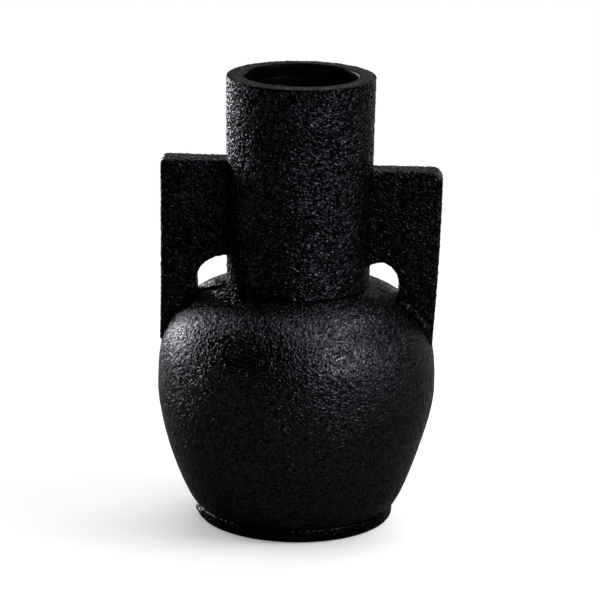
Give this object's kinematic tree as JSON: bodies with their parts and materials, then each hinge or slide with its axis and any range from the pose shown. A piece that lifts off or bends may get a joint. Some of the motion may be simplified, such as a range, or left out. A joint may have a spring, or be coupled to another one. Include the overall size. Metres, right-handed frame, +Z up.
{
  "type": "handled vase",
  "caption": "Thick-walled round-bellied vase with a tall straight neck, two flat slab handles pierced by arches, and a low foot ring.",
  "frame": {"origin": "on the surface that the vase stands on, on the axis of the turned belly and neck; the box is 1.1 mm off it because the right handle reaches further than the left", "axes": "+Z up along the turning axis; +X towards the right handle as the picture shows it; the picture looks roughly along +Y"},
  "size_m": [0.2, 0.1978, 0.322],
  "materials": {
    "belly_slip": "fine pebbled black slip, semi-matt",
    "neck_slip": "coarse pebbled black slip, semi-matt",
    "handle_slip": "coarse pebbled black slip, semi-matt"
  },
  "bodies": {
    "root": {"foot_ring": "belly_slip", "belly": "belly_slip", "neck": "neck_slip", "handle_right": "handle_slip", "handle_left": "handle_slip"}
  },
  "joints": []
}
